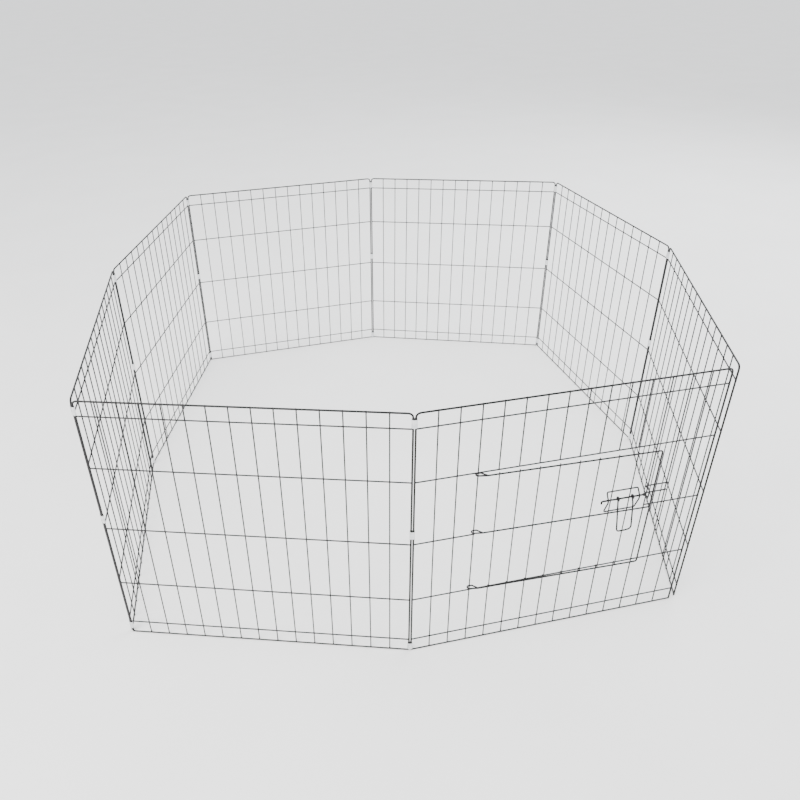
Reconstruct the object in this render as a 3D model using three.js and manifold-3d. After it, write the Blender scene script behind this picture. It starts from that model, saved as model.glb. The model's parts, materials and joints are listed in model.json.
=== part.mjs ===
// Folding pet playpen: eight welded wire panels, clipped edge to edge in a ring. The front panel
// has a small hinged door with a sliding bolt latch. Millimetres, +Z up, front panel along X,
// outside of the pen toward -Y.
import * as THREE from 'three';
import { mergeVertices } from 'three/addons/utils/BufferGeometryUtils.js';
import Module from 'manifold-3d';

// Panels
const PANEL_WIDTH = 610;               // between the centres of the two side wires
const PANEL_HEIGHT = 610;
const SPACES = 15;                     // spaces between upright wires across one panel
const PITCH = PANEL_WIDTH / SPACES;
const FRAME_HALF = 1.6;                // half thickness of the bent frame wire
const FRAME_BEND = 10;                 // radius of the two top corners
const BAR = 2.6;                       // level bars, on the outer side of the frame
const BAR_Y = -0.9;
const BAR_OVERHANG = 0.7;              // bar end past the side wire's centre
const UPRIGHT = 2.2;                   // upright wires, on the inner side
const UPRIGHT_Y = 0.95;
const TOP_WIRE_Z = PANEL_HEIGHT - FRAME_HALF / Math.cos(Math.PI / 6);
const BAR_Z = [1.3, 33.3, 152.3, 304.7, 457.1, 576.1];
const [FOOT_Z, LOW_Z, KNEE_Z, MID_Z, CHEST_Z, HIGH_Z] = BAR_Z;

// Corners: a pair of side wires held by clips, and the angle the ring turns at each
const PAIR = 4.8;
const TURNS = [18, 75, 15, 70, 23, 67, 23];
const CLIP_HEIGHT = 18;
const CLIP_INNER = 2.2;
const CLIP_OUTER = 2.85;
const CLIP_BOTTOM_Z = [3.2, 12];        // odd corners, even corners
const CLIP_MIDDLE_Z = 320;
const CLIP_TOP_Z = 578;

// Doorway and door
const HINGE_WIRE = 3;                  // uprights either side of the doorway, counted from the left
const JAMB_WIRE = 12;
const HINGE_X = HINGE_WIRE * PITCH;
const STUB = 2;                        // cut bar end past the doorway's upright
const LEAF_HALF = 1.5;
const LEAF_Y = -5.4;
const LEAF_RIGHT = 497.6;
const LEAF_BEND = 5;
const LEAF_SLOPE = 0.022;              // the door hangs a little low at its free side
const LEAF_TOP = 451;
const LEAF_MID = 309;
const LEAF_BOTTOM = 156.4;
const LEAF_UPRIGHT = 2.1;
const LEAF_UPRIGHT_Y = -3.55;
const EYE_RADIUS = 3.8;
const EYE_LENGTH = 16;

// Latch
const GUIDE_HALF = 1.3;
const GUIDE_LEFT = 393.5;
const GUIDE_RIGHT = 461;
const GUIDE_TOP = 360;
const GUIDE_BOTTOM = 309.5;
const GUIDE_BACK_Y = -6.4;
const GUIDE_FRONT_Y = -15.8;
const BOLT_RADIUS = 1.8;
const BOLT_Y = -11.3;
const BOLT_Z = 342.3;
const BOLT_TAIL_X = 382;
const BOLT_TAIL_DROP = 6.5;
const BALL_X = 474;
const BALL_RADIUS = 3.2;
const HANDLE_HALF = 1.4;
const HANDLE_LEFT = 417.5;
const HANDLE_WIDTH = 31.5;
const HANDLE_DROP = 73.5;
const HANDLE_LEAN = 12.5;              // degrees that the handle stands out from the door
const HANDLE_RING = 3.7;
const KEEPER_HALF = 1.3;
const KEEPER_FROM = 13 * PITCH;
const KEEPER_Y = -1.85;
const KEEPER_TIP_X = 480.2;
const KEEPER_TIP_Y = -16.6;
const KEEPER_LOW_Z = 337.3;
const KEEPER_HIGH_Z = 355.5;

const wasm = await Module();
wasm.setup();

// A polygon section with flat sides toward +-Y and +-X of its own plane
function section(sides, apothem) {
  const radius = apothem / Math.cos(Math.PI / sides);
  const shape = new THREE.Shape();
  for (let i = 0; i < sides; i += 1) {
    const angle = (2 * Math.PI * (i + 0.5)) / sides;
    const x = radius * Math.cos(angle);
    const y = radius * Math.sin(angle);
    if (i === 0) shape.moveTo(x, y);
    else shape.lineTo(x, y);
  }
  shape.closePath();
  return shape;
}

// A wire's centre line: straight pieces whose corners are also the steps of the extrusion
class WirePath extends THREE.Curve {
  constructor(points) {
    super();
    this.points = points;
  }

  getPoint(t, target = new THREE.Vector3()) {
    const last = this.points.length - 1;
    const index = Math.min(Math.floor(t * last + 1e-6), last - 1);
    return target.lerpVectors(this.points[index], this.points[index + 1], t * last - index);
  }

  getPointAt(t, target) {
    return this.getPoint(t, target);
  }

  getTangentAt(t, target = new THREE.Vector3()) {
    const last = this.points.length - 1;
    const index = Math.round(t * last);
    const here = this.points[index];
    const before = this.points[Math.max(index - 1, 0)];
    const after = this.points[Math.min(index + 1, last)];
    const arriving = here.clone().sub(before).normalize();
    const leaving = after.clone().sub(here).normalize();
    return target.copy(arriving).add(leaving).normalize();
  }
}

function wire(points, half, sides = 6) {
  const path = new WirePath(points.map((p) => new THREE.Vector3(...p)));
  return new THREE.ExtrudeGeometry(section(sides, half), {
    steps: points.length - 1,
    extrudePath: path,
    bevelEnabled: false,
  });
}

// Points on an arc round a centre, from one angle to another (degrees), in the XZ or XY plane
function arc(centre, radius, from, to, steps, plane) {
  const points = [];
  for (let i = 0; i <= steps; i += 1) {
    const angle = THREE.MathUtils.degToRad(from + ((to - from) * i) / steps);
    const across = radius * Math.cos(angle);
    const along = radius * Math.sin(angle);
    if (plane === 'xz') points.push([centre[0] + across, centre[1], centre[2] + along]);
    else points.push([centre[0] + across, centre[1] + along, centre[2]]);
  }
  return points;
}

function block(x, y, z) {
  const [x0, x1] = x;
  const [y0, y1] = y;
  const [z0, z1] = z;
  const geometry = new THREE.BoxGeometry(x1 - x0, y1 - y0, z1 - z0);
  return geometry.translate((x0 + x1) / 2, (y0 + y1) / 2, (z0 + z1) / 2);
}

function solid(geometry) {
  const bare = geometry.clone();
  bare.deleteAttribute('normal');
  bare.deleteAttribute('uv');
  const merged = mergeVertices(bare, 1e-4);
  const vertProperties = new Float32Array(merged.attributes.position.array);
  const triVerts = new Uint32Array(merged.index.array);
  return new wasm.Manifold(new wasm.Mesh({ numProp: 3, vertProperties, triVerts }));
}

function joined(geometries) {
  let whole = solid(geometries[0]);
  for (const geometry of geometries.slice(1)) whole = whole.add(solid(geometry));
  const mesh = whole.getMesh();
  const geometry = new THREE.BufferGeometry();
  const positions = [];
  for (let i = 0; i < mesh.vertProperties.length; i += mesh.numProp) {
    positions.push(...mesh.vertProperties.slice(i, i + 3));
  }
  geometry.setAttribute('position', new THREE.Float32BufferAttribute(positions, 3));
  geometry.setIndex([...mesh.triVerts]);
  return geometry;
}

// --- Panels --------------------------------------------------------------------------------

// The frame: one wire up a side, across the top and down the other side
function frameWire() {
  const bend = FRAME_BEND;
  const top = TOP_WIRE_Z - bend;
  const points = [
    [0, 0, 0.4],
    ...arc([bend, 0, top], bend, 180, 90, 3, 'xz'),
    ...arc([PANEL_WIDTH - bend, 0, top], bend, 90, 0, 3, 'xz'),
    [PANEL_WIDTH, 0, 0.4],
  ];
  return wire(points, FRAME_HALF);
}

function levelBar(z, from = -BAR_OVERHANG, to = PANEL_WIDTH + BAR_OVERHANG) {
  return block([from, to], [BAR_Y - BAR / 2, BAR_Y + BAR / 2], [z - BAR / 2, z + BAR / 2]);
}

function upright(index, from = FOOT_Z, to = TOP_WIRE_Z) {
  const x = index * PITCH;
  const half = UPRIGHT / 2;
  return block([x - half, x + half], [UPRIGHT_Y - half, UPRIGHT_Y + half], [from, to]);
}

function plainPanel() {
  const pieces = [frameWire(), ...BAR_Z.map((z) => levelBar(z))];
  for (let i = 1; i < SPACES; i += 1) pieces.push(upright(i));
  return joined(pieces);
}

function doorPanel() {
  const pieces = [frameWire()];
  for (const z of BAR_Z) if (z !== MID_Z) pieces.push(levelBar(z));
  pieces.push(levelBar(MID_Z, -BAR_OVERHANG, HINGE_X + STUB));
  pieces.push(levelBar(MID_Z, JAMB_WIRE * PITCH - STUB, PANEL_WIDTH + BAR_OVERHANG));
  for (let i = 1; i < SPACES; i += 1) {
    if (i > HINGE_WIRE && i < JAMB_WIRE) {
      pieces.push(upright(i, FOOT_Z, KNEE_Z));
      pieces.push(upright(i, CHEST_Z, TOP_WIRE_Z));
    } else {
      pieces.push(upright(i));
    }
  }
  return joined(pieces);
}

// --- Door ----------------------------------------------------------------------------------

const leafDrop = (x) => LEAF_SLOPE * (x - HINGE_X);

// A long eye round the hinge upright, closed onto the door's rail. It starts on the rail.
function eyePoints(z) {
  const centre = [HINGE_X, UPRIGHT_Y, z];
  return [
    [HINGE_X + EYE_LENGTH, LEAF_Y, z - leafDrop(HINGE_X + EYE_LENGTH)],
    ...arc(centre, EYE_RADIUS, 270, 90, 5, 'xy'),
    [HINGE_X + EYE_LENGTH * 0.4, UPRIGHT_Y + EYE_RADIUS, z],
  ];
}

function eyeReturn(z) {
  const inner = UPRIGHT_Y + EYE_RADIUS;
  return wire([
    [HINGE_X + EYE_LENGTH * 0.3, inner, z],
    [HINGE_X + EYE_LENGTH * 0.5, inner - 0.4, z],
    [HINGE_X + EYE_LENGTH * 1.05, LEAF_Y + 0.6, z - leafDrop(HINGE_X + EYE_LENGTH)],
  ], LEAF_HALF - 0.15);
}

function doorLeaf() {
  const bend = LEAF_BEND;
  const inner = LEAF_RIGHT - bend;
  const top = LEAF_TOP - leafDrop(LEAF_RIGHT);
  const bottom = LEAF_BOTTOM - leafDrop(LEAF_RIGHT);
  const frame = wire([
    ...eyePoints(LEAF_TOP).reverse(),
    ...arc([inner, LEAF_Y, top - bend], bend, 90, 0, 2, 'xz'),
    ...arc([inner, LEAF_Y, bottom + bend], bend, 0, -90, 2, 'xz'),
    ...eyePoints(LEAF_BOTTOM),
  ], LEAF_HALF);
  const middle = wire([
    ...eyePoints(LEAF_MID).reverse(),
    [LEAF_RIGHT, LEAF_Y, LEAF_MID - leafDrop(LEAF_RIGHT)],
  ], LEAF_HALF - 0.1);
  const pieces = [frame, middle];
  for (const z of [LEAF_TOP, LEAF_MID, LEAF_BOTTOM]) pieces.push(eyeReturn(z));
  const half = LEAF_UPRIGHT / 2;
  for (let i = HINGE_WIRE + 1; i < JAMB_WIRE; i += 1) {
    const x = i * PITCH;
    const foot = LEAF_BOTTOM - leafDrop(x);
    const tip = LEAF_TOP - leafDrop(x) + LEAF_HALF + 1.4;
    const y = [LEAF_UPRIGHT_Y - half, LEAF_UPRIGHT_Y + half];
    pieces.push(block([x - half, x + half], y, [foot, tip]));
  }
  return joined(pieces);
}

// --- Latch ---------------------------------------------------------------------------------

// A closed loop on the door. Its two sides bulge outward, and the bolt runs behind the bulges.
function latchGuide() {
  const side = (x, inward) => [
    [x + inward * 5, GUIDE_BACK_Y, GUIDE_TOP],
    [x + inward * 1.2, GUIDE_BACK_Y - 0.4, GUIDE_TOP - 1],
    [x, GUIDE_BACK_Y - 1.6, GUIDE_TOP - 4],
    [x, GUIDE_FRONT_Y, BOLT_Z + 3.5],
    [x, GUIDE_FRONT_Y, BOLT_Z - 4],
    [x, GUIDE_BACK_Y - 2.6, GUIDE_BOTTOM + 8],
    [x + inward * 0.6, GUIDE_BACK_Y - 0.5, GUIDE_BOTTOM + 1.6],
    [x + inward * 3, GUIDE_BACK_Y, GUIDE_BOTTOM],
  ];
  const middle = (GUIDE_LEFT + GUIDE_RIGHT) / 2;
  const half = (x, inward, seam) => [
    [seam, GUIDE_BACK_Y, GUIDE_TOP],
    ...side(x, inward),
    [seam, GUIDE_BACK_Y, GUIDE_BOTTOM],
  ];
  return joined([
    wire(half(GUIDE_LEFT, 1, middle + 2), GUIDE_HALF),
    wire(half(GUIDE_RIGHT, -1, middle), GUIDE_HALF - 0.05),
  ]);
}

// The bolt: a rod with a ball on the keeper end and a bent tail that stops it sliding out
function latchBolt() {
  const rod = wire([
    [BOLT_TAIL_X, BOLT_Y, BOLT_Z - BOLT_TAIL_DROP],
    [BOLT_TAIL_X, BOLT_Y, BOLT_Z - 2.6],
    [BOLT_TAIL_X + 0.8, BOLT_Y, BOLT_Z - 0.8],
    [BOLT_TAIL_X + 2.6, BOLT_Y, BOLT_Z],
    [BALL_X, BOLT_Y, BOLT_Z],
  ], BOLT_RADIUS, 8);
  const ball = new THREE.SphereGeometry(BALL_RADIUS, 12, 8).rotateZ(Math.PI / 2);
  return joined([rod, ball.translate(BALL_X, BOLT_Y, BOLT_Z)]);
}

// The handle hangs from the bolt by two rings. Its own origin is on the bolt, over the left leg.
function latchHandle() {
  const tight = 6;
  const wide = 15;
  const neck = -HANDLE_RING - 0.3;
  const legs = wire([
    [0, 0, neck],
    ...arc([tight, 0, tight - HANDLE_DROP], tight, 180, 270, 3, 'xz'),
    ...arc([HANDLE_WIDTH - wide, 0, wide - HANDLE_DROP], wide, 270, 360, 4, 'xz'),
    [HANDLE_WIDTH + 2, 0, neck - 12],
    [HANDLE_WIDTH, 0, neck],
  ], HANDLE_HALF);
  const ringAt = (x) => {
    const ring = new THREE.TorusGeometry(HANDLE_RING, HANDLE_HALF, 6, 12);
    return ring.rotateY(Math.PI / 2).translate(x, 0, 0);
  };
  return joined([legs, ringAt(0), ringAt(HANDLE_WIDTH)]);
}

// The keeper: a hairpin on the panel that comes out past the door for the bolt to slide behind
function latchKeeper() {
  const x = KEEPER_TIP_X;
  const leg = (z, toward) => [
    [KEEPER_FROM, KEEPER_Y, z],
    [x + 4, KEEPER_Y, z],
    [x + 1, KEEPER_Y - 1, z],
    [x, KEEPER_Y - 3, z],
    [x, KEEPER_TIP_Y + 3, z],
    [x, KEEPER_TIP_Y + 0.8, z + toward * 0.8],
    [x, KEEPER_TIP_Y, z + toward * 3],
  ];
  return joined([wire([...leg(KEEPER_HIGH_Z, -1), ...leg(KEEPER_LOW_Z, 1).reverse()], KEEPER_HALF)]);
}

// --- Clips ---------------------------------------------------------------------------------

// A sheet metal clip wrapped round a pair of side wires that stand along local X
function clip() {
  const outline = (shape, radius, steps) => {
    for (let i = 0; i <= steps; i += 1) {
      const angle = -Math.PI / 2 + (Math.PI * i) / steps;
      const x = PAIR / 2 + radius * Math.cos(angle);
      const y = radius * Math.sin(angle);
      if (i === 0) shape.moveTo(x, y);
      else shape.lineTo(x, y);
    }
    for (let i = 0; i <= steps; i += 1) {
      const angle = Math.PI / 2 + (Math.PI * i) / steps;
      shape.lineTo(-PAIR / 2 + radius * Math.cos(angle), radius * Math.sin(angle));
    }
    shape.closePath();
    return shape;
  };
  const band = outline(new THREE.Shape(), CLIP_OUTER, 4);
  band.holes.push(outline(new THREE.Path(), CLIP_INNER, 5));
  return new THREE.ExtrudeGeometry(band, { depth: CLIP_HEIGHT, bevelEnabled: false });
}

// --- Assembly ------------------------------------------------------------------------------

const coated = () => new THREE.MeshStandardMaterial({ color: 0x0b0b0c, metalness: 0.3, roughness: 0.4 });
const zinc = () => new THREE.MeshStandardMaterial({ color: 0xc4c6c8, metalness: 1, roughness: 0.35 });

const pen = new THREE.Group();
const ring = new THREE.Group();
pen.add(ring);

// A sub-part standing at (x, y) with its local X turned to a heading in degrees
function add(name, geometry, material, x = 0, y = 0, z = 0, turned = 0) {
  const mesh = new THREE.Mesh(geometry, material);
  mesh.name = name;
  mesh.position.set(x, y, z);
  mesh.rotation.z = THREE.MathUtils.degToRad(turned);
  ring.add(mesh);
  return mesh;
}

add('door_panel', doorPanel(), coated());
add('door_leaf', doorLeaf(), coated());
add('latch_guide', latchGuide(), coated());
add('latch_bolt', latchBolt(), coated());
const handle = add('latch_handle', latchHandle(), coated(), HANDLE_LEFT, BOLT_Y, BOLT_Z);
handle.rotation.x = -THREE.MathUtils.degToRad(HANDLE_LEAN);
add('latch_keeper', latchKeeper(), coated());

// Walk round the ring from the front panel's left end: half the turn, the pair of side wires,
// the other half of the turn, then the next panel
const panelShape = plainPanel();
const clipShape = clip();
let heading = 180;
let x = 0;
let y = 0;

function walk(distance) {
  x += distance * Math.cos(THREE.MathUtils.degToRad(heading));
  y += distance * Math.sin(THREE.MathUtils.degToRad(heading));
}

TURNS.forEach((turn, index) => {
  const corner = `corner_${index + 1}`;
  heading -= turn / 2;
  walk(PAIR / 2);
  add(`${corner}_clip_bottom`, clipShape, zinc(), x, y, CLIP_BOTTOM_Z[index % 2], heading);
  add(`${corner}_clip_middle`, clipShape, zinc(), x, y, CLIP_MIDDLE_Z, heading);
  add(`${corner}_clip_top`, clipShape, zinc(), x, y, CLIP_TOP_Z, heading);
  walk(PAIR / 2);
  heading -= turn / 2;
  walk(PANEL_WIDTH);
  add(`panel_${index + 2}`, panelShape, coated(), x, y, 0, heading + 180);
});

// The pen stands on Z = 0 with the middle of its box on the origin
const extent = new THREE.Box3().setFromObject(ring, true);
const middle = extent.getCenter(new THREE.Vector3());
ring.position.set(-middle.x, -middle.y, -extent.min.z);

export default pen;
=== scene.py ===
# Folding pet playpen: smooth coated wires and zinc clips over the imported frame, on a pale floor.
# Lengths are millimetres in the pieces' own frames and become metres when a piece is placed.
import json
from math import cos, pi, radians, sin

import bmesh
import bpy
from mathutils import Matrix, Vector


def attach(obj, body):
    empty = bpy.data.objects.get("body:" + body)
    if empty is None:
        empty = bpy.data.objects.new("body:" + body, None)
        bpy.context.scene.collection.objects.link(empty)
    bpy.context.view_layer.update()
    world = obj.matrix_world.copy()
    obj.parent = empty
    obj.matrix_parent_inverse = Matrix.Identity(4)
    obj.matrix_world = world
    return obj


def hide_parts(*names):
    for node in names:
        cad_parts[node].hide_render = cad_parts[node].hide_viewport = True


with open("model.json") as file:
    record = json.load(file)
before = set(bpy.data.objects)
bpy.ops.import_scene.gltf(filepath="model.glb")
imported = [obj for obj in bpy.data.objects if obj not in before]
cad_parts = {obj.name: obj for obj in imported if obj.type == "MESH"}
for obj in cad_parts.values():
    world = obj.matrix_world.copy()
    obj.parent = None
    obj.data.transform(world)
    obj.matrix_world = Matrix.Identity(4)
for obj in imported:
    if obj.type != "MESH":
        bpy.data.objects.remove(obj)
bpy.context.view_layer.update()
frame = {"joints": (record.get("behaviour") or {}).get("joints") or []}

MM = 0.001

# Panels
PANEL_WIDTH = 610.0
SPACES = 15
PITCH = PANEL_WIDTH / SPACES
FRAME_RADIUS = 1.84
FRAME_BEND = 10.0
FRAME_TOP_Z = 608.1
FRAME_FOOT_Z = 0.5
BAR_RADIUS = 1.38
BAR_Y = -0.9
BAR_OVERHANG = 0.7
BAR_Z = (1.38, 33.3, 152.3, 304.7, 457.1, 576.1)
FOOT_Z, _, KNEE_Z, MID_Z, CHEST_Z, _ = BAR_Z
UPRIGHT_RADIUS = 1.24
UPRIGHT_Y = 1.0
UPRIGHT_TOP_Z = 609.6

# Corners
PAIR = 4.8
TURNS = (18, 75, 15, 70, 23, 67, 23)
CLIP_HEIGHT = 18.0
CLIP_INNER = 2.25
CLIP_OUTER = 2.85
CLIP_BOTTOM_Z = (3.2, 12.0)
CLIP_MIDDLE_Z = 320.0
CLIP_TOP_Z = 578.0
STOP_RADIUS = 2.3
STOP_HEIGHT = 3.2
STOP_GAP = 0.4

# Door
HINGE_WIRE = 3
JAMB_WIRE = 12
HINGE_X = HINGE_WIRE * PITCH
STUB = 2.0
LEAF_RADIUS = 1.65
LEAF_Y = -5.4
LEAF_RIGHT = 497.6
LEAF_BEND = 5.0
LEAF_SLOPE = 0.022
LEAF_TOP = 451.0
LEAF_MID = 309.0
LEAF_BOTTOM = 156.4
LEAF_UPRIGHT_RADIUS = 1.12
LEAF_UPRIGHT_Y = -3.55
EYE_CENTRE_Y = 0.95
EYE_RADIUS = 3.8
EYE_LENGTH = 16.0

# Latch
GUIDE_RADIUS = 1.45
GUIDE_LEFT = 393.5
GUIDE_RIGHT = 461.0
GUIDE_TOP = 360.0
GUIDE_BOTTOM = 309.5
GUIDE_BACK_Y = -6.4
GUIDE_FRONT_Y = -15.8
BOLT_RADIUS = 1.8
BOLT_Y = -11.3
BOLT_Z = 342.3
BOLT_TAIL_X = 382.0
BOLT_TAIL_DROP = 6.5
BALL_X = 474.0
BALL_RADIUS = 3.3
HANDLE_RADIUS = 1.55
HANDLE_LEFT = 417.5
HANDLE_WIDTH = 31.5
HANDLE_DROP = 73.5
HANDLE_LEAN = 12.5
HANDLE_RING = 3.7
KEEPER_RADIUS = 1.45
KEEPER_FROM = 13 * PITCH
KEEPER_Y = -1.85
KEEPER_TIP_X = 480.2
KEEPER_TIP_Y = -16.6
KEEPER_LOW_Z = 337.3
KEEPER_HIGH_Z = 355.5

# Camera, from the left end of the front panel
CAMERA_AT = (-299.5, -982.8, 1298.5)
CAMERA_YAW = 11.54
CAMERA_PITCH = 31.26
CAMERA_ROLL = -1.52
CAMERA_LENS = 32.52
CAMERA_SHIFT = (0.0518, -0.0248)


# --- Materials -----------------------------------------------------------------------------

class Shader:
    """A node material on object coordinates, with helpers for noise, ramps and bump."""

    def __init__(self, name):
        self.material = bpy.data.materials.new(name)
        self.material.use_nodes = True
        self.tree = self.material.node_tree
        self.shader = self.tree.nodes["Principled BSDF"]
        self.place = self.node("ShaderNodeTexCoord").outputs["Object"]

    def node(self, kind, **settings):
        made = self.tree.nodes.new(kind)
        for key, value in settings.items():
            setattr(made, key, value)
        return made

    def link(self, source, target):
        self.tree.links.new(source, target)

    def noise(self, scale, detail=4.0, stretch=(1, 1, 1)):
        mapping = self.node("ShaderNodeMapping")
        mapping.inputs["Scale"].default_value = stretch
        self.link(self.place, mapping.inputs["Vector"])
        texture = self.node("ShaderNodeTexNoise")
        texture.inputs["Scale"].default_value = scale
        texture.inputs["Detail"].default_value = detail
        self.link(mapping.outputs["Vector"], texture.inputs["Vector"])
        return texture.outputs["Fac"]

    def ramp(self, source, stops):
        made = self.node("ShaderNodeValToRGB")
        elements = made.color_ramp.elements
        while len(elements) < len(stops):
            elements.new(0.5)
        for element, (at, colour) in zip(elements, stops):
            element.position = at
            element.color = (*colour, 1.0)
        self.link(source, made.inputs["Fac"])
        return made.outputs["Color"]

    def spread(self, source, low, high):
        made = self.node("ShaderNodeMapRange")
        made.inputs["From Min"].default_value = 0.3
        made.inputs["From Max"].default_value = 0.7
        made.inputs["To Min"].default_value = low
        made.inputs["To Max"].default_value = high
        self.link(source, made.inputs["Value"])
        return made.outputs["Result"]

    def bump(self, source, strength, distance, below=None):
        made = self.node("ShaderNodeBump")
        made.inputs["Strength"].default_value = strength
        made.inputs["Distance"].default_value = distance
        self.link(source, made.inputs["Height"])
        if below is not None:
            self.link(below, made.inputs["Normal"])
        return made.outputs["Normal"]

    def set(self, **values):
        for key, value in values.items():
            self.shader.inputs[key.replace("_", " ")].default_value = value

    def drive(self, **sources):
        for key, source in sources.items():
            self.link(source, self.shader.inputs[key.replace("_", " ")])


def coated_wire():
    """Black baked coating: near matt, slightly uneven, with a faint orange peel."""
    s = Shader("black_coating")
    s.set(Metallic=0.0, IOR=1.42, Coat_Weight=0.08, Coat_Roughness=0.25,
          Specular_IOR_Level=0.3)
    patches = s.noise(38.0)
    peel = s.noise(1400.0, detail=2.0)
    s.drive(
        Base_Color=s.ramp(patches, (
            (0.32, (0.003, 0.003, 0.0033)),
            (0.55, (0.0055, 0.0055, 0.006)),
            (0.78, (0.012, 0.0119, 0.0117)),
        )),
        Roughness=s.spread(s.noise(210.0), 0.36, 0.55),
        Normal=s.bump(peel, 0.35, 0.00012, s.bump(s.noise(320.0), 0.3, 0.0003)),
    )
    return s.material


def zinc_sheet():
    """Bright zinc plate: drawn lines along the band, blotchy tint, brighter and duller areas."""
    s = Shader("zinc_plate")
    s.set(Metallic=1.0)
    drawn = s.noise(420.0, detail=3.0, stretch=(1, 1, 6))
    s.drive(
        Base_Color=s.ramp(s.noise(160.0), (
            (0.3, (0.56, 0.575, 0.6)),
            (0.52, (0.72, 0.73, 0.74)),
            (0.75, (0.83, 0.825, 0.8)),
        )),
        Roughness=s.spread(s.noise(260.0), 0.22, 0.42),
        Normal=s.bump(drawn, 0.3, 0.00015),
    )
    return s.material


def pale_floor():
    s = Shader("pale_floor")
    s.drive(
        Base_Color=s.ramp(s.noise(3.0), (
            (0.35, (0.87, 0.868, 0.862)),
            (0.7, (0.9, 0.898, 0.893)),
        )),
        Roughness=s.spread(s.noise(9.0), 0.72, 0.84),
    )
    return s.material


COATING = coated_wire()
ZINC = zinc_sheet()


# --- Mesh helpers --------------------------------------------------------------------------

def rounded(points, bend, steps=5):
    """The polyline with each inner corner replaced by a curve that starts bend before it."""
    points = [Vector(p) for p in points]
    out = [points[0]]
    for before, here, after in zip(points, points[1:], points[2:]):
        arriving, leaving = here - before, after - here
        size = min(bend, arriving.length * 0.48, leaving.length * 0.48)
        start = here - arriving.normalized() * size
        end = here + leaving.normalized() * size
        for i in range(steps + 1):
            t = i / steps
            out.append(start * (1 - t) ** 2 + here * 2 * t * (1 - t) + end * t ** 2)
    out.append(points[-1])
    return out


def add_tube(bm, points, radius, sides=12):
    """A round wire along the points, with slightly rounded ends."""
    points = [Vector(p) for p in points]
    rim = 0.3 * radius
    first = (points[1] - points[0]).normalized()
    last = (points[-1] - points[-2]).normalized()
    path = [points[0], points[0] + first * rim, *points[1:-1], points[-1] - last * rim, points[-1]]
    radii = [0.7 * radius] + [radius] * (len(path) - 2) + [0.7 * radius]
    side = first.orthogonal().normalized()
    rings = []
    for i, (point, size) in enumerate(zip(path, radii)):
        before = path[max(i - 1, 0)]
        after = path[min(i + 1, len(path) - 1)]
        arriving = (point - before).normalized() if i else first
        leaving = (after - point).normalized() if i < len(path) - 1 else last
        heading = (arriving + leaving).normalized()
        side = (side - heading * side.dot(heading)).normalized()
        across = heading.cross(side)
        ring = []
        for k in range(sides):
            angle = 2 * pi * k / sides
            ring.append(bm.verts.new(point + (side * cos(angle) + across * sin(angle)) * size))
        rings.append(ring)
    for a, b in zip(rings, rings[1:]):
        for k in range(sides):
            n = (k + 1) % sides
            bm.faces.new((a[k], a[n], b[n], b[k]))
    bm.faces.new(tuple(reversed(rings[0])))
    bm.faces.new(rings[-1])


def add_ring(bm, centre, ring_radius, radius, around=28, sides=12):
    """A closed ring of wire round the X axis."""
    rings = []
    for i in range(around):
        turn = 2 * pi * i / around
        out = Vector((0, cos(turn), sin(turn)))
        ring = []
        for k in range(sides):
            angle = 2 * pi * k / sides
            offset = out * (ring_radius + radius * cos(angle)) + Vector((radius * sin(angle), 0, 0))
            ring.append(bm.verts.new(Vector(centre) + offset))
        rings.append(ring)
    for i in range(around):
        a, b = rings[i], rings[(i + 1) % around]
        for k in range(sides):
            n = (k + 1) % sides
            bm.faces.new((a[k], a[n], b[n], b[k]))


def add_bead(bm, at, size):
    """A small squashed bead of weld and coating where two wires cross."""
    place = Matrix.Translation(at) @ Matrix.Diagonal((*size, 1))
    bmesh.ops.create_icosphere(bm, subdivisions=2, radius=1.0, matrix=place)


def piece(bm, name, node, body, material, place):
    """Finish a mesh as the visible piece that stands for a CAD node."""
    bmesh.ops.recalc_face_normals(bm, faces=bm.faces)
    mesh = bpy.data.meshes.new(name)
    bm.to_mesh(mesh)
    bm.free()
    mesh.transform(place @ Matrix.Scale(MM, 4))
    mesh.materials.append(material)
    mesh.shade_smooth()
    mesh.set_sharp_from_angle(angle=radians(40))
    made = bpy.data.objects.new(name, mesh)
    bpy.context.scene.collection.objects.link(made)
    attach(made, body)
    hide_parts(node)
    return made


# --- Panels --------------------------------------------------------------------------------

def add_frame_wire(bm):
    corners = [
        (0, 0, FRAME_FOOT_Z), (0, 0, FRAME_TOP_Z),
        (PANEL_WIDTH, 0, FRAME_TOP_Z), (PANEL_WIDTH, 0, FRAME_FOOT_Z),
    ]
    add_tube(bm, rounded(corners, FRAME_BEND, 7), FRAME_RADIUS, 14)


def add_bar(bm, z, start=-BAR_OVERHANG, end=PANEL_WIDTH + BAR_OVERHANG):
    add_tube(bm, [(start, BAR_Y, z), (end, BAR_Y, z)], BAR_RADIUS)


def add_upright(bm, x, foot=FOOT_Z - 0.5, top=UPRIGHT_TOP_Z):
    add_tube(bm, [(x, UPRIGHT_Y, foot), (x, UPRIGHT_Y, top)], UPRIGHT_RADIUS)


def add_welds(bm, x, levels):
    for z in levels:
        add_bead(bm, (x, 0.1, z), (1.5, 0.9, 1.5))


def add_stops(bm, x, bottom_clip_z):
    """Small swellings on a side wire that keep its clips in place."""
    above, below = STOP_GAP, -STOP_GAP - STOP_HEIGHT
    levels = [
        CLIP_TOP_Z + CLIP_HEIGHT + above,
        CLIP_MIDDLE_Z + CLIP_HEIGHT + above,
        CLIP_MIDDLE_Z + below,
    ]
    odd = bottom_clip_z == CLIP_BOTTOM_Z[0]
    levels.append(bottom_clip_z + (CLIP_HEIGHT + above if odd else below))
    for z in levels:
        add_tube(bm, [(x, 0, z), (x, 0, z + STOP_HEIGHT)], STOP_RADIUS, 14)


def side_stops(bm, left_corner, right_corner):
    """Stops on the side wires that are clipped at numbered corners; None has no clips."""
    for x, corner in ((0, left_corner), (PANEL_WIDTH, right_corner)):
        if corner is not None:
            add_stops(bm, x, CLIP_BOTTOM_Z[(corner - 1) % 2])


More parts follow.
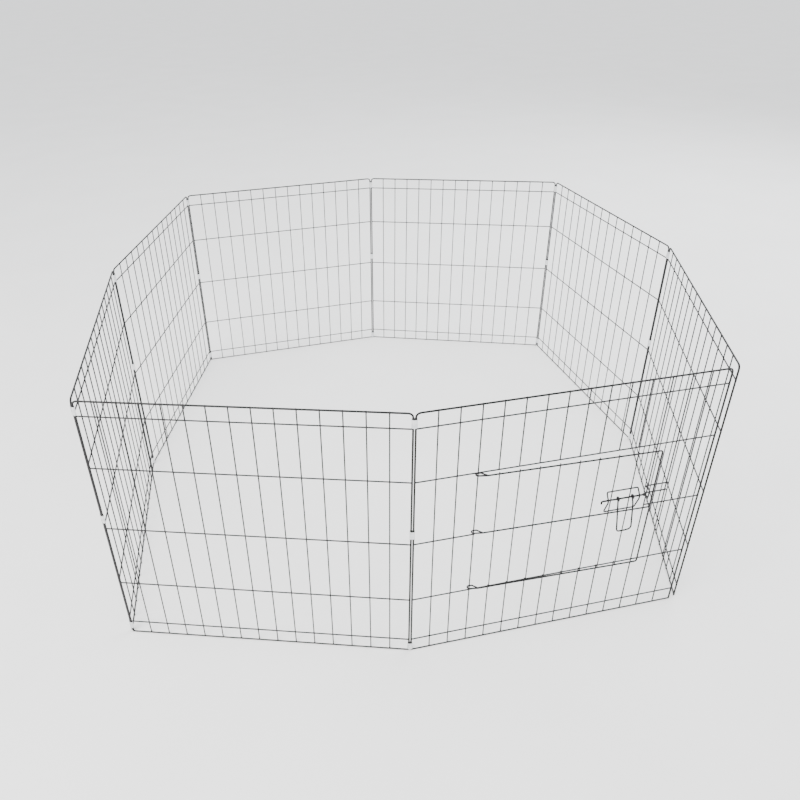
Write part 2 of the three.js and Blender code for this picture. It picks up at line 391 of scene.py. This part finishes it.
def plain_panel(left_corner, right_corner):
    bm = bmesh.new()
    add_frame_wire(bm)
    for z in BAR_Z:
        add_bar(bm, z)
    for i in range(1, SPACES):
        add_upright(bm, i * PITCH)
        add_welds(bm, i * PITCH, BAR_Z)
    side_stops(bm, left_corner, right_corner)
    return bm


def door_panel():
    bm = bmesh.new()
    add_frame_wire(bm)
    for z in BAR_Z:
        if z != MID_Z:
            add_bar(bm, z)
    add_bar(bm, MID_Z, end=HINGE_X + STUB)
    add_bar(bm, MID_Z, start=JAMB_WIRE * PITCH - STUB)
    for i in range(1, SPACES):
        x = i * PITCH
        if HINGE_WIRE < i < JAMB_WIRE:
            add_upright(bm, x, top=KNEE_Z + 1.2)
            add_upright(bm, x, foot=CHEST_Z - 1.2)
            add_welds(bm, x, [z for z in BAR_Z if z != MID_Z])
        else:
            add_upright(bm, x)
            add_welds(bm, x, BAR_Z)
    side_stops(bm, 1, None)
    return bm


# --- Door ----------------------------------------------------------------------------------

def leaf_drop(x):
    return LEAF_SLOPE * (x - HINGE_X)


def eye_path(z):
    """From the rail, round the hinge upright and back onto the rail's inner side."""
    rail_x = HINGE_X + EYE_LENGTH
    points = [(rail_x, LEAF_Y, z - leaf_drop(rail_x))]
    for i in range(13):
        angle = radians(270 - 15 * i)
        points.append((HINGE_X + EYE_RADIUS * cos(angle), EYE_CENTRE_Y + EYE_RADIUS * sin(angle), z))
    inner = EYE_CENTRE_Y + EYE_RADIUS
    points.append((HINGE_X + EYE_LENGTH * 0.45, inner - 0.3, z))
    points.append((HINGE_X + EYE_LENGTH * 1.05, LEAF_Y + 0.7, z - leaf_drop(rail_x)))
    return points


def door_leaf():
    bm = bmesh.new()
    top = LEAF_TOP - leaf_drop(LEAF_RIGHT)
    bottom = LEAF_BOTTOM - leaf_drop(LEAF_RIGHT)
    corners = [eye_path(LEAF_TOP)[0], (LEAF_RIGHT, LEAF_Y, top), (LEAF_RIGHT, LEAF_Y, bottom),
               eye_path(LEAF_BOTTOM)[0]]
    frame_path = rounded(corners, LEAF_BEND)
    add_tube(bm, eye_path(LEAF_TOP)[:0:-1] + frame_path + eye_path(LEAF_BOTTOM)[1:], LEAF_RADIUS)
    right_end = (LEAF_RIGHT, LEAF_Y, LEAF_MID - leaf_drop(LEAF_RIGHT))
    add_tube(bm, eye_path(LEAF_MID)[::-1] + [right_end], LEAF_RADIUS - 0.1)
    for i in range(HINGE_WIRE + 1, JAMB_WIRE):
        x = i * PITCH
        foot = LEAF_BOTTOM - leaf_drop(x) - 0.8
        tip = LEAF_TOP - leaf_drop(x) + LEAF_RADIUS + 1.3
        add_tube(bm, [(x, LEAF_UPRIGHT_Y, foot), (x, LEAF_UPRIGHT_Y, tip)], LEAF_UPRIGHT_RADIUS)
        for z in (LEAF_TOP, LEAF_MID, LEAF_BOTTOM):
            add_bead(bm, (x, -4.4, z - leaf_drop(x)), (1.5, 0.8, 1.5))
    return bm


# --- Latch ---------------------------------------------------------------------------------

def latch_guide():
    bm = bmesh.new()

    def side(x, inward):
        return [
            (x + inward * 1.0, GUIDE_BACK_Y, GUIDE_TOP),
            (x, GUIDE_BACK_Y - 1.2, GUIDE_TOP - 3.5),
            (x, GUIDE_FRONT_Y, BOLT_Z + 3.0),
            (x, GUIDE_FRONT_Y, BOLT_Z - 3.5),
            (x, GUIDE_BACK_Y - 2.0, GUIDE_BOTTOM + 7),
            (x + inward * 0.8, GUIDE_BACK_Y, GUIDE_BOTTOM),
        ]

    seam = (GUIDE_LEFT + GUIDE_RIGHT) / 2
    left = [(seam + 1.5, GUIDE_BACK_Y, GUIDE_TOP), *side(GUIDE_LEFT, 1),
            (seam + 0.5, GUIDE_BACK_Y, GUIDE_BOTTOM)]
    right = [(seam, GUIDE_BACK_Y, GUIDE_TOP), *side(GUIDE_RIGHT, -1),
             (seam, GUIDE_BACK_Y, GUIDE_BOTTOM)]
    add_tube(bm, rounded(left, 4.0), GUIDE_RADIUS)
    add_tube(bm, rounded(right, 4.0), GUIDE_RADIUS)
    for x in (seam - 18, seam + 18):
        add_bead(bm, (x, -6.0, GUIDE_BOTTOM), (1.7, 1.2, 1.2))
    return bm


def latch_bolt():
    bm = bmesh.new()
    corners = [(BOLT_TAIL_X, BOLT_Y, BOLT_Z - BOLT_TAIL_DROP), (BOLT_TAIL_X, BOLT_Y, BOLT_Z),
               (BALL_X, BOLT_Y, BOLT_Z)]
    add_tube(bm, rounded(corners, 3.0), BOLT_RADIUS, 16)
    ball = Matrix.Translation((BALL_X, BOLT_Y, BOLT_Z)) @ Matrix.Rotation(pi / 2, 4, 'Y')
    bmesh.ops.create_uvsphere(bm, u_segments=24, v_segments=14, radius=BALL_RADIUS, matrix=ball)
    return bm


def latch_handle():
    bm = bmesh.new()
    neck = -HANDLE_RING - 0.3
    corners = [(0, 0, neck), (0, 0, -HANDLE_DROP), (HANDLE_WIDTH * 0.5, 0, -HANDLE_DROP),
               (HANDLE_WIDTH, 0, -HANDLE_DROP + 1.5), (HANDLE_WIDTH + 1.6, 0, neck - 14),
               (HANDLE_WIDTH, 0, neck)]
    path = rounded(corners[:3], 6.0)[:-1]
    path += rounded(corners[2:], 15.0, 9)
    add_tube(bm, path, HANDLE_RADIUS)
    for x in (0, HANDLE_WIDTH):
        add_ring(bm, (x, 0, 0), HANDLE_RING, HANDLE_RADIUS)
    return bm


def latch_keeper():
    bm = bmesh.new()
    corners = [
        (KEEPER_FROM + 1, KEEPER_Y, KEEPER_HIGH_Z), (KEEPER_TIP_X, KEEPER_Y, KEEPER_HIGH_Z),
        (KEEPER_TIP_X, KEEPER_TIP_Y, KEEPER_HIGH_Z), (KEEPER_TIP_X, KEEPER_TIP_Y, KEEPER_LOW_Z),
        (KEEPER_TIP_X, KEEPER_Y, KEEPER_LOW_Z), (KEEPER_FROM + 1, KEEPER_Y, KEEPER_LOW_Z),
    ]
    add_tube(bm, rounded(corners, 3.6, 7), KEEPER_RADIUS)
    for z in (KEEPER_HIGH_Z, KEEPER_LOW_Z):
        for x in (KEEPER_FROM, JAMB_WIRE * PITCH):
            add_bead(bm, (x, -0.6, z), (1.6, 1.1, 1.5))
    return bm


# --- Clips ---------------------------------------------------------------------------------

def obround(radius, arc_steps=12):
    points = []
    for side, start in ((1, -pi / 2), (-1, pi / 2)):
        for i in range(arc_steps + 1):
            angle = start + pi * i / arc_steps
            points.append((side * PAIR / 2 + radius * cos(angle), radius * sin(angle)))
    return points


def clip_band():
    """A strip of sheet folded round two side wires, edges softened, one end lapped over."""
    bm = bmesh.new()
    soft = 0.18
    profile = [(CLIP_INNER, soft), (CLIP_INNER + soft, 0), (CLIP_OUTER - soft, 0), (CLIP_OUTER, soft),
               (CLIP_OUTER, CLIP_HEIGHT - soft), (CLIP_OUTER - soft, CLIP_HEIGHT),
               (CLIP_INNER + soft, CLIP_HEIGHT), (CLIP_INNER, CLIP_HEIGHT - soft)]
    loops = [[bm.verts.new((x, y, z)) for x, y in obround(radius)] for radius, z in profile]
    around = len(loops[0])
    for i, a in enumerate(loops):
        b = loops[(i + 1) % len(loops)]
        for k in range(around):
            n = (k + 1) % around
            bm.faces.new((a[k], a[n], b[n], b[k]))
    # the lapped end of the strip, proud of the band on the outer side
    lap, thick = 2.6, 0.28
    y = CLIP_OUTER - 0.05
    flap = [(-0.2, y), (-0.2, y + thick), (lap - 0.3, y + thick), (lap, y + thick * 0.3), (lap, y - 0.1)]
    low, high = 0.6, CLIP_HEIGHT - 0.6
    rings = [[bm.verts.new((px, py, z)) for px, py in flap] for z in (low, high)]
    for k in range(len(flap)):
        n = (k + 1) % len(flap)
        bm.faces.new((rings[0][k], rings[0][n], rings[1][n], rings[1][k]))
    bm.faces.new(tuple(reversed(rings[0])))
    bm.faces.new(rings[1])
    return bm


# --- Assembly ------------------------------------------------------------------------------

def standing(x, y, z=0.0, turned=0.0):
    return Matrix.Translation((x * MM, y * MM, z * MM)) @ Matrix.Rotation(radians(turned), 4, 'Z')


def wires(bm, node, body, place):
    return piece(bm, f"{node}_wires", node, body, COATING, place)


first_hinge = next(j for j in frame["joints"] if j["name"] == "fold_1a")
x, y = (value / MM for value in first_hinge["pos_m"][:2])
FRONT = standing(x, y)
wires(door_panel(), "door_panel", "front_panel", FRONT)
wires(latch_keeper(), "latch_keeper", "front_panel", FRONT)
wires(door_leaf(), "door_leaf", "door", FRONT)
wires(latch_guide(), "latch_guide", "door", FRONT)
wires(latch_bolt(), "latch_bolt", "bolt", FRONT)
lean = Matrix.Rotation(radians(-HANDLE_LEAN), 4, 'X')
hang = standing(x + HANDLE_LEFT, y + BOLT_Y, BOLT_Z) @ lean
wires(latch_handle(), "latch_handle", "handle", hang)

heading = 180.0


def walk(at, distance):
    return (at[0] + distance * cos(radians(heading)), at[1] + distance * sin(radians(heading)))


at = (x, y)
for number, turn in enumerate(TURNS, 1):
    heading -= turn / 2
    at = walk(at, PAIR / 2)
    levels = {"bottom": CLIP_BOTTOM_Z[(number - 1) % 2], "middle": CLIP_MIDDLE_Z, "top": CLIP_TOP_Z}
    for where, z in levels.items():
        node = f"corner_{number}_clip_{where}"
        place = standing(*at, z, heading)
        piece(clip_band(), f"{node}_band", node, f"corner_{number}", ZINC, place)
    at = walk(at, PAIR / 2)
    heading -= turn / 2
    at = walk(at, PANEL_WIDTH)
    node = f"panel_{number + 1}"
    next_corner = number + 1 if number < len(TURNS) else None
    wires(plain_panel(next_corner, number), node, node, standing(*at, 0, heading + 180))


# --- Floor, lights and camera --------------------------------------------------------------

def floor(size=60.0, cells=6):
    bm = bmesh.new()
    bmesh.ops.create_grid(bm, x_segments=cells, y_segments=cells, size=size / 2)
    mesh = bpy.data.meshes.new("floor")
    bm.to_mesh(mesh)
    bm.free()
    mesh.materials.append(pale_floor())
    made = bpy.data.objects.new("floor", mesh)
    bpy.context.scene.collection.objects.link(made)


def soft_light(name, at, size, power, tint):
    light = bpy.data.lights.new(name, 'AREA')
    light.shape = 'RECTANGLE'
    light.size, light.size_y = size
    light.energy = power
    light.color = tint
    made = bpy.data.objects.new(name, light)
    made.location = at
    made.rotation_euler = (-Vector(at)).to_track_quat('-Z', 'Y').to_euler()
    bpy.context.scene.collection.objects.link(made)


def surroundings():
    world = bpy.data.worlds.new("studio")
    world.use_nodes = True
    background = world.node_tree.nodes["Background"]
    background.inputs["Color"].default_value = (0.93, 0.945, 0.965, 1)
    background.inputs["Strength"].default_value = 1.75
    bpy.context.scene.world = world


def camera():
    yaw, pitch, roll = (radians(a) for a in (CAMERA_YAW, CAMERA_PITCH, CAMERA_ROLL))
    ahead = Vector((sin(yaw) * cos(pitch), cos(yaw) * cos(pitch), -sin(pitch)))
    level = Vector((cos(yaw), -sin(yaw), 0))
    above = level.cross(ahead)
    across = level * cos(roll) + above * sin(roll)
    up = above * cos(roll) - level * sin(roll)
    turned = Matrix((across, up, -ahead)).transposed().to_4x4()
    data = bpy.data.cameras.new("camera")
    data.lens = CAMERA_LENS
    data.sensor_width = 36.0
    data.shift_x, data.shift_y = CAMERA_SHIFT
    data.clip_start, data.clip_end = 0.01, 200.0
    made = bpy.data.objects.new("camera", data)
    made.matrix_world = Matrix.Translation(FRONT.translation + Vector(CAMERA_AT) * MM) @ turned
    bpy.context.scene.collection.objects.link(made)
    bpy.context.scene.camera = made


floor()
soft_light("key", (-2.6, -2.2, 3.6), (3.4, 2.6), 330.0, (1.0, 0.985, 0.96))
soft_light("fill", (3.0, 1.2, 3.0), (3.4, 2.8), 170.0, (0.95, 0.975, 1.0))
surroundings()
camera()
